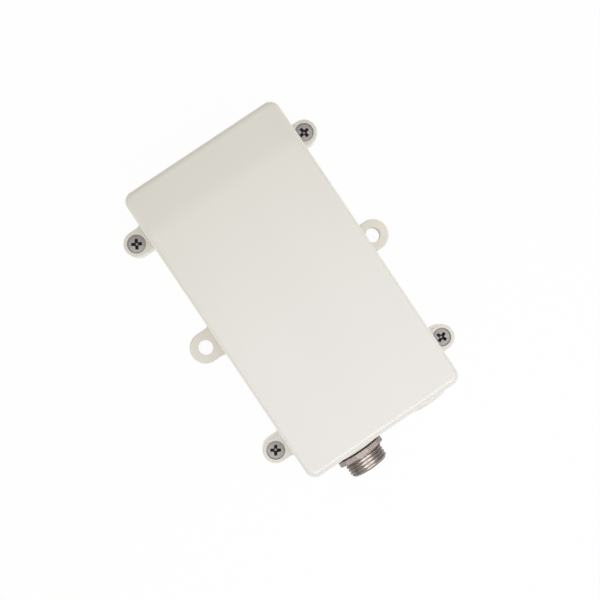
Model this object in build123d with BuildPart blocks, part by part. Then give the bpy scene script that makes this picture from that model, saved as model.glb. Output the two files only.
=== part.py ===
"""Noise sensor: a drafted front shell screwed to a back plate, with a threaded panel socket.

The origin is the centre of the mounting face. +Z points out of the wall that the sensor
hangs on, +Y points away from the end with the socket, and X runs across. Millimetres.
"""

from build123d import *
import math
import os

os.makedirs("parts", exist_ok=True)

# Housing, measured at the parting plane between back plate and front shell
housing_width = 51.6
housing_length = 95.4
plate_height = 4.0
shell_height = 23.0
wall = 2.2
roof = 2.4
floor = 2.2
corner_radius = 3.4
least_inner_radius = 0.4
draft_angle = 1.0
top_edge_radius = 1.8
inner_edge_radius = 1.0
back_edge_chamfer = 0.5

# Screw ears of shell and plate
screw_outset = 3.8
screw_end_margin = 11.3
screw_ear_radius = 3.9
shell_ear_height = 3.2
ear_root_radius = 1.2
ear_edge_radius = 0.4

# Mounting ears of the plate
mount_outset = 4.2
mount_ear_radius = 4.7
mount_hole_diameter = 4.5

# Housing screws and the brass inserts that they run into
screw_diameter = 3.0
screw_head_diameter = 5.2
screw_head_height = 1.9
screw_head_dome = 0.6
screw_length = 4.4
screw_recess_depth = 2.1
screw_recess_clearance = 0.15
screw_hole_clearance = 0.2
screw_point_chamfer = 0.4
drive_slot_width = 0.85
drive_slot_length = 3.1
drive_slot_depth = 1.2
drive_slot_taper = 12.0
insert_diameter = 4.2
insert_length = 3.6
insert_groove_width = 0.8
insert_groove_depth = 0.25
insert_back_gap = 0.2

# Sealing cord in the plate's rim, and the lip that centres the shell
seal_width = 1.2
seal_depth = 0.9
seal_corner_radius = 0.25
lip_height = 2.4
lip_thickness = 1.4
lip_clearance = 0.25
lip_notch_clearance = 0.8

# Stiffening ribs on the plate's floor
rib_width = 1.2
rib_height = 1.4

# Panel socket, with its axis parallel to Y
socket_x = -9.4
socket_height = 13.2
socket_thread_diameter = 12.0
socket_gripped_diameter = 11.4
socket_reach = 6.75
socket_end_chamfer = 0.7
socket_hole_clearance = 0.15
socket_pad_diameter = 17.6
socket_pad_rise = 0.45
socket_seat_wall = 3.15
socket_mouth_diameter = 9.8
socket_mouth_depth = 5.8
socket_flange_diameter = 16.0
socket_flange_flats = 14.0
socket_flange_thickness = 1.8
socket_barrel_diameter = 11.0
socket_barrel_length = 4.5
pad_edge_radius = 0.3

# Nut and gasket in front of the end wall
nut_width = 14.3
nut_flat_count = 12
nut_thickness = 1.55
nut_clearance = 0.05
nut_chamfer = 0.15
gasket_diameter = 14.0
gasket_thickness = 0.7

# Insulator and contacts
insulator_step_depth = 2.2
insulator_core_diameter = 8.4
insulator_rear_length = 1.2
key_width = 1.6
key_height = 0.4
contact_diameter = 1.0
contact_circle_diameter = 6.2
contact_reach = 4.6
contact_count = 4
cup_diameter = 1.7
cup_length = 3.0
cup_bore_diameter = 1.3
cup_bore_depth = 1.8

# Sound port, with its axis parallel to Y
port_x = 15.0
port_height = 13.2
port_pad_diameter = 12.4
port_pad_rise = 0.3
port_hole_diameter = 8.2
port_cap_diameter = 12.0
port_cap_thickness = 1.0
port_cap_edge_radius = 0.8
port_stem_length = 1.6
port_stem_clearance = 0.1
port_ring_wall = 1.1
port_plate_thickness = 0.8
sound_hole_diameter = 1.0
sound_hole_circle_diameter = 3.8
sound_hole_count = 6
holder_bore_diameter = 11.2
holder_wall = 1.2
holder_length = 6.0
holder_seat_wall = 1.9
membrane_diameter = 9.6
membrane_thickness = 0.25

# Microphone capsule and its rubber boot
capsule_diameter = 9.7
capsule_length = 6.7
capsule_rim_width = 0.8
capsule_rim_depth = 0.3
capsule_hole_diameter = 1.6
capsule_hole_depth = 0.6
boot_clearance = 0.05
boot_front_thickness = 0.8
boot_channel_diameter = 6.4
boot_overhang = 0.6
terminal_pitch = 2.5
terminal_diameter = 1.6
terminal_height = 0.5

# Circuit board on four posts
board_side_margin = 4.3
board_front_margin = 16.2
board_back_margin = 5.7
board_thickness = 1.6
board_corner_radius = 1.5
board_seat_height = 8.0
board_hole_diameter = 2.7
board_hole_inset = 3.5
post_diameter = 5.6
post_pilot_diameter = 2.1
post_pilot_depth = 4.6

# Screws that hold the board
board_screw_diameter = 2.0
board_screw_head_diameter = 4.2
board_screw_head_height = 1.5
board_screw_length = 5.2
board_screw_slot_width = 0.7
board_screw_slot_length = 2.4
board_screw_slot_depth = 0.8

# Parts on the board: places are from the board's centre, sizes are of each body
chip_body_gap = 0.15
lead_thickness = 0.2
foot_length = 0.6
microcontroller_place = (9.0, -2.0)
microcontroller_size = (7.0, 7.0, 1.4)
microcontroller_pins = 8
microcontroller_pitch = 0.8
microcontroller_lead = 0.35
transceiver_x = -11.0
transceiver_diode_gap = 1.85
preamplifier_place = (14.0, -22.0)
small_chip_size = (3.9, 4.9, 1.5)
small_chip_pins = 4
small_chip_pitch = 1.27
small_chip_lead = 0.42
lead_run = 1.0
regulator_place = (-15.0, -2.0)
regulator_size = (3.5, 6.5, 1.6)
regulator_pins = 3
regulator_pitch = 2.3
regulator_lead = 0.7
regulator_tab_width = 3.0
inductor_place = (-14.0, 10.0)
inductor_side = 8.0
inductor_height = 4.0
inductor_corner = 1.6
inductor_core_diameter = 5.6
inductor_core_step = 0.3
capacitor_places = ((-14.0, 22.5), (-3.5, 22.5))
capacitor_diameter = 8.0
capacitor_height = 10.2
capacitor_base_side = 8.3
capacitor_base_height = 1.0
capacitor_neck_diameter = 7.2
capacitor_neck_height = 1.0
capacitor_edge_radius = 0.5
crystal_place = (9.0, 8.0)
crystal_length = 11.0
crystal_width = 4.6
crystal_height = 3.5
crystal_flange = 0.35
crystal_flange_height = 0.5
diode_columns = (-14.5, -8.5)
diode_header_gap = 3.65
diode_size = (3.6, 4.4, 2.2)
diode_pins = 1
diode_lead = 2.0

# Wire header and leads
header_length = 12.4
header_depth = 6.4
header_height = 6.8
header_wall = 0.9
header_floor = 1.6
header_front_gap = 5.0
header_entry_diameter = 1.7
header_entry_height = 3.6
header_pitch = 2.5
lead_diameter = 1.2
lead_straight = 1.6
lead_bend_radius = 1.4
microphone_lead_diameter = 1.0
microphone_lead_landing = 6.6
microphone_lead_drop = 1.4

# Planes and places that several pieces share
parting_plane = Plane.XY.offset(plate_height)
half_width = housing_width / 2
half_length = housing_length / 2
screw_x = half_width + screw_outset
screw_y = half_length - screw_end_margin
mount_x = half_width + mount_outset
shell_ear_top = plate_height + shell_ear_height
head_seat = shell_ear_top - screw_recess_depth
socket_pad_face = -(half_length + socket_pad_rise)
socket_seat_face = socket_pad_face + socket_seat_wall
port_pad_face = -(half_length + port_pad_rise)
holder_seat = port_pad_face + holder_seat_wall
board_width = housing_width - 2 * board_side_margin
board_front = -half_length + board_front_margin
board_back = half_length - board_back_margin
board_length = board_back - board_front
board_centre = (board_front + board_back) / 2
board_top = board_seat_height + board_thickness
board_hole_x = board_width / 2 - board_hole_inset
board_hole_y = board_length / 2 - board_hole_inset
header_y = board_front + header_front_gap + header_depth / 2
diode_row = header_y + header_depth / 2 + diode_header_gap + diode_size[1] / 2 - board_centre
diode_places = [(column, diode_row) for column in diode_columns]
transceiver_row = diode_row + diode_size[1] / 2 + transceiver_diode_gap + small_chip_size[1] / 2
transceiver_place = (transceiver_x, transceiver_row)
socket_axis = Axis((socket_x, 0, socket_height), (0, 1, 0))
port_axis = Axis((port_x, 0, port_height), (0, 1, 0))


def inner_radius(inset):
    """Corner radius of an outline that runs inset from the housing's outline."""
    return max(corner_radius - inset, least_inner_radius)


def end_plane(x, y, z):
    """Plane across the long axis that faces out of the socket end."""
    return Plane(origin=(x, y, z), x_dir=(1, 0, 0), z_dir=(0, -1, 0))


def axial_plane(x, z):
    """Plane through an axis parallel to Y, with its own Y along that axis."""
    return Plane(origin=(x, 0, z), x_dir=(1, 0, 0), z_dir=(0, 0, 1))


def board_plane(place):
    """Plane on the board's upper face at a place given from the board's centre."""
    return Plane(origin=(place[0], board_centre + place[1], board_top))


def eared_outline(plane, ears):
    """Housing outline with a round-ended ear at each (x, y, radius)."""
    with BuildSketch(plane) as outline:
        RectangleRounded(housing_width, housing_length, corner_radius)
        for x, y, radius in ears:
            with Locations((x, y)):
                Circle(radius)
            with Locations((x / 2, y)):
                Rectangle(abs(x), 2 * radius)
        side_limit = half_length - corner_radius - ear_root_radius / 2
        roots = outline.vertices().filter_by(
            lambda v: math.isclose(abs(plane.to_local_coords(v).X), half_width, abs_tol=0.01)
            and abs(v.Y) < side_limit
        )
        fillet(roots, ear_root_radius)
    return outline.sketch


def round_pad(x, y, z, diameter):
    """Round pad across the long axis, cut off flat at the parting plane."""
    with BuildSketch(end_plane(x, y, z)) as pad:
        Circle(diameter / 2)
        with Locations((0, plate_height - z)):
            Rectangle(
                diameter,
                diameter,
                align=(Align.CENTER, Align.MAX),
                mode=Mode.SUBTRACT,
            )
    return pad.sketch


screw_ears = [(sx * screw_x, sy * screw_y, screw_ear_radius) for sx in (-1, 1) for sy in (-1, 1)]
mount_ears = [(sx * mount_x, 0, mount_ear_radius) for sx in (-1, 1)]

# Front shell: drafted box with a rounded roof edge, four ears, pads and a microphone holder
with BuildPart() as front_shell:
    extrude(eared_outline(parting_plane, screw_ears), amount=shell_ear_height)
    sides = front_shell.faces().filter_by(Axis.Z, reverse=True)
    draft(sides, neutral_plane=parting_plane, angle=draft_angle)
    ear_tops = front_shell.faces().sort_by(Axis.Z)[-1].edges()
    fillet(ear_tops.filter_by(lambda e: abs(e.center().X) > half_width), ear_edge_radius)
    with BuildSketch(parting_plane):
        RectangleRounded(housing_width, housing_length, corner_radius)
    extrude(amount=shell_height, taper=draft_angle)
    fillet(front_shell.faces().sort_by(Axis.Z)[-1].edges(), top_edge_radius)

    # Round pads on the end wall, square to the axes of socket and sound port
    extrude(
        round_pad(socket_x, socket_pad_face, socket_height, socket_pad_diameter),
        amount=-(socket_pad_rise + wall / 2),
    )
    extrude(
        round_pad(port_x, port_pad_face, port_height, port_pad_diameter),
        amount=-(port_pad_rise + wall / 2),
    )
    fillet(
        front_shell.faces().filter_by(Plane.XZ).group_by(Axis.Y)[0].edges(),
        pad_edge_radius,
    )

    # Hollow inside
    with BuildSketch(parting_plane):
        RectangleRounded(housing_width - 2 * wall, housing_length - 2 * wall, inner_radius(wall))
    extrude(amount=shell_height - roof, taper=draft_angle, mode=Mode.SUBTRACT)
    ceiling = front_shell.faces().filter_by(Axis.Z).filter_by(
        lambda f: math.isclose(f.center().Z, plate_height + shell_height - roof, abs_tol=0.01)
    )
    fillet(ceiling[0].outer_wire().edges(), inner_edge_radius)

    # Flat seat for the socket's flange, and the tube that holds the microphone
    extrude(
        round_pad(socket_x, socket_seat_face, socket_height, socket_pad_diameter),
        amount=wall / 2,
    )
    with BuildSketch(end_plane(port_x, holder_seat + holder_length, port_height)):
        Circle(holder_bore_diameter / 2 + holder_wall)
    extrude(amount=holder_length)

    # Bores of socket, microphone holder and sound port
    with BuildSketch(end_plane(socket_x, socket_seat_face, socket_height)):
        Circle(socket_thread_diameter / 2 + socket_hole_clearance)
    extrude(amount=socket_seat_wall, mode=Mode.SUBTRACT)
    with BuildSketch(end_plane(port_x, holder_seat + holder_length, port_height)):
        Circle(holder_bore_diameter / 2)
    extrude(amount=holder_length, mode=Mode.SUBTRACT)
    with BuildSketch(end_plane(port_x, holder_seat, port_height)):
        Circle(port_hole_diameter / 2)
    extrude(amount=holder_seat_wall, mode=Mode.SUBTRACT)

    # Counterbored screw holes
    with Locations(Plane.XY.offset(shell_ear_top)):
        with GridLocations(2 * screw_x, 2 * screw_y, 2, 2):
            CounterBoreHole(
                radius=screw_diameter / 2 + screw_hole_clearance,
                counter_bore_radius=screw_head_diameter / 2 + screw_recess_clearance,
                counter_bore_depth=screw_recess_depth,
                depth=shell_ear_height,
            )

front_shell.part.label = "front_shell"
export_step(front_shell.part, "parts/front_shell.step")

# Back plate: flat mounting face, six ears, posts for the board, and a lip inside the shell
lip_outer_inset = wall + lip_clearance
lip_inner_inset = lip_outer_inset + lip_thickness
seal_inset = (wall - seal_width) / 2
post_height = board_seat_height - floor
with BuildPart() as back_plate:
    extrude(eared_outline(Plane.XY, screw_ears + mount_ears), amount=plate_height)
    chamfer(back_plate.faces().sort_by(Axis.Z)[0].edges(), back_edge_chamfer)
    fillet(
        back_plate.faces().sort_by(Axis.Z)[-1].edges().filter_by(
            lambda e: abs(e.center().X) > half_width and abs(e.center().Y) < screw_y / 2
        ),
        ear_edge_radius,
    )

    # Tray inside the lip
    with BuildSketch(Plane.XY.offset(floor)):
        RectangleRounded(
            housing_width - 2 * lip_inner_inset,
            housing_length - 2 * lip_inner_inset,
            inner_radius(lip_inner_inset),
        )
    extrude(amount=plate_height - floor, mode=Mode.SUBTRACT)

    # Lip, open behind the socket's flange
    with BuildSketch(parting_plane):
        RectangleRounded(
            housing_width - 2 * lip_outer_inset,
            housing_length - 2 * lip_outer_inset,
            inner_radius(lip_outer_inset),
        )
        RectangleRounded(
            housing_width - 2 * lip_inner_inset,
            housing_length - 2 * lip_inner_inset,
            inner_radius(lip_inner_inset),
            mode=Mode.SUBTRACT,
        )
        with Locations((socket_x, -half_length + lip_outer_inset)):
            Rectangle(
                socket_pad_diameter + 2 * lip_notch_clearance,
                4 * lip_thickness,
                mode=Mode.SUBTRACT,
            )
    extrude(amount=lip_height)

    # Groove for the sealing cord
    with BuildSketch(parting_plane):
        RectangleRounded(
            housing_width - 2 * seal_inset,
            housing_length - 2 * seal_inset,
            inner_radius(seal_inset),
        )
        RectangleRounded(
            housing_width - 2 * (seal_inset + seal_width),
            housing_length - 2 * (seal_inset + seal_width),
            inner_radius(seal_inset + seal_width),
            mode=Mode.SUBTRACT,
        )
    extrude(amount=-seal_depth, mode=Mode.SUBTRACT)

    # Ribs from post to post
    with BuildSketch(Plane.XY.offset(floor)):
        with GridLocations(2 * board_hole_x, 0, 2, 1):
            with Locations((0, board_centre)):
                Rectangle(rib_width, 2 * board_hole_y)
        with Locations((0, board_centre)):
            with GridLocations(0, board_hole_y, 1, 3):
                Rectangle(2 * board_hole_x, rib_width)
    extrude(amount=rib_height)

    # Posts with pilot holes
    with BuildSketch(Plane.XY.offset(floor)):
        with Locations((0, board_centre)):
            with GridLocations(2 * board_hole_x, 2 * board_hole_y, 2, 2):
                Circle(post_diameter / 2)
    extrude(amount=post_height)
    with Locations(Plane.XY.offset(board_seat_height)):
        with Locations((0, board_centre)):
            with GridLocations(2 * board_hole_x, 2 * board_hole_y, 2, 2):
                Hole(radius=post_pilot_diameter / 2, depth=post_pilot_depth)

    # Bores for the inserts and holes in the mounting ears
    with Locations(parting_plane):
        with GridLocations(2 * screw_x, 2 * screw_y, 2, 2):
            Hole(radius=insert_diameter / 2, depth=plate_height)
        with GridLocations(2 * mount_x, 0, 2, 1):
            Hole(radius=mount_hole_diameter / 2, depth=plate_height)

back_plate.part.label = "back_plate"
export_step(back_plate.part, "parts/back_plate.step")

# Sealing cord, pressed flush into its groove
with BuildPart() as perimeter_seal:
    with BuildSketch(parting_plane.offset(-seal_depth)):
        RectangleRounded(
            housing_width - 2 * seal_inset,
            housing_length - 2 * seal_inset,
            inner_radius(seal_inset),
        )
        RectangleRounded(
            housing_width - 2 * (seal_inset + seal_width),
            housing_length - 2 * (seal_inset + seal_width),
            inner_radius(seal_inset + seal_width),
            mode=Mode.SUBTRACT,
        )
    extrude(amount=seal_depth)
    fillet(perimeter_seal.faces().sort_by(Axis.Z)[0].edges(), seal_corner_radius)
perimeter_seal.part.label = "perimeter_seal"
export_step(perimeter_seal.part, "parts/perimeter_seal.step")


def pan_head_screw(x, y, seat, shank, head, drive, chamfer_length):
    """Pan-head screw with a cross recess, its head sitting on the plane z = seat.

    shank is (diameter, length), head is (diameter, height, dome height) and drive is
    (slot width, slot length, slot depth).
    """
    shank_radius, head_radius = shank[0] / 2, head[0] / 2
    head_side = head[1] - head[2]
    with BuildPart() as screw:
        with BuildSketch(Plane(origin=(x, y, seat), x_dir=(1, 0, 0), z_dir=(0, -1, 0))):
            with BuildLine():
                Polyline(
                    (0, head[1]),
                    (0, -shank[1]),
                    (shank_radius - chamfer_length, -shank[1]),
                    (shank_radius, -shank[1] + chamfer_length),
                    (shank_radius, 0),
                    (head_radius, 0),
                    (head_radius, head_side),
                )
                TangentArc((0, head[1]), (head_radius, head_side), tangent=(1, 0))
            make_face()
        revolve(axis=Axis((x, y, seat), (0, 0, 1)))
        with BuildSketch(Plane(origin=(x, y, seat + head[1]))):
            Rectangle(drive[1], drive[0])
            Rectangle(drive[0], drive[1])
        extrude(amount=-drive[2], taper=drive_slot_taper, mode=Mode.SUBTRACT)
    return screw.part


# Housing screws
with BuildPart() as housing_screws:
    for ear_x, ear_y, _ in screw_ears:
        add(
            pan_head_screw(
                ear_x,
                ear_y,
                head_seat,
                (screw_diameter, screw_length),
                (screw_head_diameter, screw_head_height, screw_head_dome),
                (drive_slot_width, drive_slot_length, drive_slot_depth),
                screw_point_chamfer,
            )
        )
housing_screws.part.label = "housing_screws"
export_step(housing_screws.part, "parts/housing_screws.step")

# Brass inserts, each with a grip groove round its middle
with BuildPart() as threaded_inserts:
    with BuildSketch(Plane.XZ) as insert_section:
        with Locations(((insert_diameter + screw_diameter) / 4, insert_back_gap + insert_length / 2)):
            Rectangle((insert_diameter - screw_diameter) / 2, insert_length)
        with Locations((insert_diameter / 2, insert_back_gap + insert_length / 2)):
            Rectangle(2 * insert_groove_depth, insert_groove_width, mode=Mode.SUBTRACT)
    insert_solid = revolve(insert_section.sketch, axis=Axis.Z, mode=Mode.PRIVATE)
    with GridLocations(2 * screw_x, 2 * screw_y, 2, 2):
        add(insert_solid)
threaded_inserts.part.label = "threaded_inserts"
export_step(threaded_inserts.part, "parts/threaded_inserts.step")

# Socket shell: threaded nose, flange behind the wall, barrel round the insulator. The thread
# is plain: at its outer diameter where it stands free, at its pitch diameter under the nut
socket_end = socket_pad_face - socket_reach
mouth_floor = socket_end + socket_mouth_depth
flange_back = socket_seat_face + socket_flange_thickness
barrel_end = flange_back + socket_barrel_length
nut_back = socket_pad_face - gasket_thickness
nut_front = nut_back - nut_thickness
insulator_core_radius = insulator_core_diameter / 2
insulator_step = mouth_floor + insulator_step_depth
with BuildPart() as socket_shell:
    with BuildSketch(axial_plane(socket_x, socket_height)):
        with BuildLine():
            Polyline(
                (socket_mouth_diameter / 2, socket_end),
                (socket_thread_diameter / 2 - socket_end_chamfer, socket_end),
                (socket_thread_diameter / 2, socket_end + socket_end_chamfer),
                (socket_thread_diameter / 2, nut_front),
                (socket_gripped_diameter / 2, nut_front),
                (socket_gripped_diameter / 2, socket_seat_face),
                (socket_flange_diameter / 2, socket_seat_face),
                (socket_flange_diameter / 2, flange_back),
                (socket_barrel_diameter / 2, flange_back),
                (socket_barrel_diameter / 2, barrel_end),
                (insulator_core_radius, barrel_end),
                (insulator_core_radius, insulator_step),
                (socket_mouth_diameter / 2, insulator_step),
                close=True,
            )
        make_face()
    revolve(axis=socket_axis)
    # Two flats on the flange, and the keyway that turns the plug the right way round
    with BuildSketch(end_plane(socket_x, flange_back, socket_height)):
        Rectangle(2 * socket_flange_diameter, 2 * socket_flange_diameter)
        Rectangle(2 * socket_flange_diameter, socket_flange_flats, mode=Mode.SUBTRACT)
    extrude(amount=socket_flange_thickness, mode=Mode.SUBTRACT)
    with BuildSketch(end_plane(socket_x, mouth_floor, socket_height)):
        with Locations((0, socket_mouth_diameter / 2)):
            Rectangle(key_width, 2 * key_height)
    extrude(amount=socket_mouth_depth, mode=Mode.SUBTRACT)
socket_shell.part.label = "socket_shell"
export_step(socket_shell.part, "parts/socket_shell.step")

# Insulator: front disc that rests on the shell's step, core through the barrel
insulator_end = barrel_end + insulator_rear_length
with BuildPart() as socket_insulator:
    with BuildSketch(axial_plane(socket_x, socket_height)):
        with BuildLine():
            Polyline(
                (0, mouth_floor),
                (socket_mouth_diameter / 2, mouth_floor),
                (socket_mouth_diameter / 2, insulator_step),
                (insulator_core_radius, insulator_step),
                (insulator_core_radius, insulator_end),
                (0, insulator_end),
                close=True,
            )
        make_face()
    revolve(axis=socket_axis)
    with BuildSketch(end_plane(socket_x, insulator_end, socket_height)):
        with PolarLocations(contact_circle_diameter / 2, contact_count):
            Circle(contact_diameter / 2)
    extrude(amount=insulator_end - mouth_floor, mode=Mode.SUBTRACT)
socket_insulator.part.label = "socket_insulator"
export_step(socket_insulator.part, "parts/socket_insulator.step")

# Contacts: pin at the front, solder cup behind the insulator
pin_tip = mouth_floor - contact_reach
cup_end = insulator_end + cup_length
with BuildPart() as contact_pins:
    with BuildSketch(end_plane(socket_x, insulator_end, socket_height)):
        with PolarLocations(contact_circle_diameter / 2, contact_count):
            Circle(contact_diameter / 2)
    extrude(amount=insulator_end - pin_tip)
    fillet(contact_pins.faces().group_by(Axis.Y)[0].edges(), contact_diameter / 4)
    with BuildSketch(end_plane(socket_x, cup_end, socket_height)):
        with PolarLocations(contact_circle_diameter / 2, contact_count):
            Circle(cup_diameter / 2)
    extrude(amount=cup_length)
    with BuildSketch(end_plane(socket_x, cup_end, socket_height)):
        with PolarLocations(contact_circle_diameter / 2, contact_count):
            Circle(cup_bore_diameter / 2)
    extrude(amount=cup_bore_depth, mode=Mode.SUBTRACT)
contact_pins.part.label = "contact_pins"
export_step(contact_pins.part, "parts/contact_pins.step")

# Gasket and nut that clamp the end wall against the flange
with BuildPart() as socket_gasket:
    with BuildSketch(end_plane(socket_x, socket_pad_face, socket_height)):
        Circle(gasket_diameter / 2)
        Circle(socket_thread_diameter / 2, mode=Mode.SUBTRACT)
    extrude(amount=gasket_thickness)
socket_gasket.part.label = "socket_gasket"
export_step(socket_gasket.part, "parts/socket_gasket.step")

# Ring nut with flats all round, one of them facing up
with BuildPart() as socket_nut:
    with BuildSketch(end_plane(socket_x, nut_back, socket_height)):
        RegularPolygon(
            nut_width / 2,
            nut_flat_count,
            major_radius=False,
            rotation=90 + 180 / nut_flat_count,
        )
    extrude(amount=nut_thickness)
    chamfer(socket_nut.faces().sort_by(Axis.Y)[0].edges(), nut_chamfer)
    with BuildSketch(end_plane(socket_x, nut_back, socket_height)):
        Circle(socket_gripped_diameter / 2 + nut_clearance)
    extrude(amount=nut_thickness, mode=Mode.SUBTRACT)
socket_nut.part.label = "socket_nut"
export_step(socket_nut.part, "parts/socket_nut.step")

# Sound port cap: a rounded disc with sound holes, and a ring that plugs into the wall
stem_radius = port_hole_diameter / 2 - port_stem_clearance
with BuildPart() as port_cap:
    with BuildSketch(end_plane(port_x, port_pad_face, port_height)):
        Circle(port_cap_diameter / 2)
    extrude(amount=port_cap_thickness)
    fillet(port_cap.faces().sort_by(Axis.Y)[0].edges(), port_cap_edge_radius)
    with BuildSketch(end_plane(port_x, port_pad_face, port_height)):
        Circle(stem_radius)
    extrude(amount=-port_stem_length)
    with BuildSketch(end_plane(port_x, port_pad_face + port_stem_length, port_height)):
        Circle(stem_radius - port_ring_wall)
    extrude(
        amount=port_stem_length + port_cap_thickness - port_plate_thickness,
        mode=Mode.SUBTRACT,
    )
    with BuildSketch(end_plane(port_x, port_pad_face, port_height)):
        Circle(sound_hole_diameter / 2)
        with PolarLocations(sound_hole_circle_diameter / 2, sound_hole_count):
            Circle(sound_hole_diameter / 2)
    extrude(amount=port_cap_thickness, both=True, mode=Mode.SUBTRACT)
port_cap.part.label = "port_cap"
export_step(port_cap.part, "parts/port_cap.step")

# Membrane on the floor of the microphone holder
membrane_back = holder_seat + membrane_thickness
with BuildPart() as acoustic_membrane:
    with BuildSketch(end_plane(port_x, membrane_back, port_height)):
        Circle(membrane_diameter / 2)
    extrude(amount=membrane_thickness)
acoustic_membrane.part.label = "acoustic_membrane"
export_step(acoustic_membrane.part, "parts/acoustic_membrane.step")

# Rubber boot and the capsule in it
capsule_front = membrane_back + boot_front_thickness
capsule_back = capsule_front + capsule_length
boot_back = capsule_back + boot_overhang
boot_radius = holder_bore_diameter / 2 - boot_clearance
with BuildPart() as microphone_boot:
    with BuildSketch(axial_plane(port_x, port_height)):
        with BuildLine():
            Polyline(
                (boot_channel_diameter / 2, membrane_back),
                (boot_radius, membrane_back),
                (boot_radius, boot_back),
                (capsule_diameter / 2 - boot_overhang, boot_back),
                (capsule_diameter / 2 - boot_overhang, capsule_back),
                (capsule_diameter / 2, capsule_back),
                (capsule_diameter / 2, capsule_front),
                (boot_channel_diameter / 2, capsule_front),
                close=True,
            )
        make_face()
    revolve(axis=port_axis)
microphone_boot.part.label = "microphone_boot"
export_step(microphone_boot.part, "parts/microphone_boot.step")

with BuildPart() as microphone_capsule:
    with BuildSketch(end_plane(port_x, capsule_back, port_height)):
        Circle(capsule_diameter / 2)
    extrude(amount=capsule_length)
    with BuildSketch(end_plane(port_x, capsule_front, port_height)):
        Circle(capsule_diameter / 2 - capsule_rim_width)
    extrude(amount=-capsule_rim_depth, mode=Mode.SUBTRACT)
    with BuildSketch(end_plane(port_x, capsule_front, port_height)):
        Circle(capsule_hole_diameter / 2)
    extrude(amount=-(capsule_rim_depth + capsule_hole_depth), mode=Mode.SUBTRACT)
    with BuildSketch(end_plane(port_x, capsule_back + terminal_height, port_height)):
        with GridLocations(terminal_pitch, 0, 2, 1):
            Circle(terminal_diameter / 2)
    extrude(amount=terminal_height)
microphone_capsule.part.label = "microphone_capsule"
export_step(microphone_capsule.part, "parts/microphone_capsule.step")

# Circuit board with its four fixing holes
with BuildPart() as circuit_board:
    with BuildSketch(Plane((0, board_centre, board_seat_height))):
        RectangleRounded(board_width, board_length, board_corner_radius)
        with GridLocations(2 * board_hole_x, 2 * board_hole_y, 2, 2):
            Circle(board_hole_diameter / 2, mode=Mode.SUBTRACT)
    extrude(amount=board_thickness)
circuit_board.part.label = "circuit_board"
export_step(circuit_board.part, "parts/circuit_board.step")

# Board screws
with BuildPart() as board_screws:
    for side_x in (-1, 1):
        for side_y in (-1, 1):
            add(
                pan_head_screw(
                    side_x * board_hole_x,
                    board_centre + side_y * board_hole_y,
                    board_top,
                    (board_screw_diameter, board_screw_length),
                    (board_screw_head_diameter, board_screw_head_height, screw_head_dome),
                    (board_screw_slot_width, board_screw_slot_length, board_screw_slot_depth),
                    screw_point_chamfer,
                )
            )
board_screws.part.label = "board_screws"
export_step(board_screws.part, "parts/board_screws.step")


def leaded_body(place, size, sides, pins, pitch, lead_width):
    """Moulded body on the board with bent leads on two or four of its sides."""
    seat = board_plane(place)
    body_x, body_y, body_z = size
    knee = body_x / 2 + lead_run - foot_length
    mid = chip_body_gap + body_z / 2
    with BuildPart() as lead:
        with BuildSketch(Plane.XZ):
            with BuildLine():
                Polyline(
                    (body_x / 2 - lead_thickness, mid),
                    (knee, mid),
                    (knee, 0),
                    (knee + foot_length, 0),
                    (knee + foot_length, lead_thickness),
                    (knee + lead_thickness, lead_thickness),
                    (knee + lead_thickness, mid + lead_thickness),
                    (body_x / 2 - lead_thickness, mid + lead_thickness),
                    close=True,
                )
            make_face()
        extrude(amount=lead_width / 2, both=True)
    with BuildPart() as chip:
        with BuildSketch(Plane.XY.offset(chip_body_gap)):
            Rectangle(body_x, body_y)
        extrude(amount=body_z)
        with PolarLocations(0, sides):
            with GridLocations(0, pitch, 1, pins):
                add(lead.part)
    return seat.location * chip.part


# Integrated circuits and surge diodes
for chip_name, chip_place, chip_size, chip_sides, chip_pins, chip_pitch, chip_lead in (
    ("microcontroller", microcontroller_place, microcontroller_size, 4, microcontroller_pins,
     microcontroller_pitch, microcontroller_lead),
    ("line_transceiver", transceiver_place, small_chip_size, 2, small_chip_pins,
     small_chip_pitch, small_chip_lead),
    ("preamplifier", preamplifier_place, small_chip_size, 2, small_chip_pins,
     small_chip_pitch, small_chip_lead),
):
    with BuildPart() as chip_part:
        add(leaded_body(chip_place, chip_size, chip_sides, chip_pins, chip_pitch, chip_lead))
    chip_part.part.label = chip_name
    export_step(chip_part.part, f"parts/{chip_name}.step")

with BuildPart() as surge_diodes:
    for diode_place in diode_places:
        add(leaded_body(diode_place, diode_size, 2, diode_pins, 1, diode_lead))
surge_diodes.part.label = "surge_diodes"
export_step(surge_diodes.part, "parts/surge_diodes.step")

# Regulator: three leads on one side and a wide tab on the other
regulator_seat = board_plane(regulator_place)
with BuildPart() as voltage_regulator:
    add(leaded_body(regulator_place, regulator_size, 1, regulator_pins, regulator_pitch,
                    regulator_lead))
    with BuildSketch(regulator_seat):
        with Locations((-(regulator_size[0] + lead_run) / 2, 0)):
            Rectangle(lead_run + 2 * lead_thickness, regulator_tab_width)
    extrude(amount=chip_body_gap + lead_thickness)
voltage_regulator.part.label = "voltage_regulator"
export_step(voltage_regulator.part, "parts/voltage_regulator.step")

# Shielded inductor with clipped corners
with BuildPart() as power_inductor:
    with BuildSketch(board_plane(inductor_place)) as inductor_outline:
        Rectangle(inductor_side, inductor_side)
        chamfer(inductor_outline.vertices(), inductor_corner)
    extrude(amount=inductor_height - inductor_core_step)
    with BuildSketch(board_plane(inductor_place)):
        Circle(inductor_core_diameter / 2)
    extrude(amount=inductor_height)
power_inductor.part.label = "power_inductor"
export_step(power_inductor.part, "parts/power_inductor.step")

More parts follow.
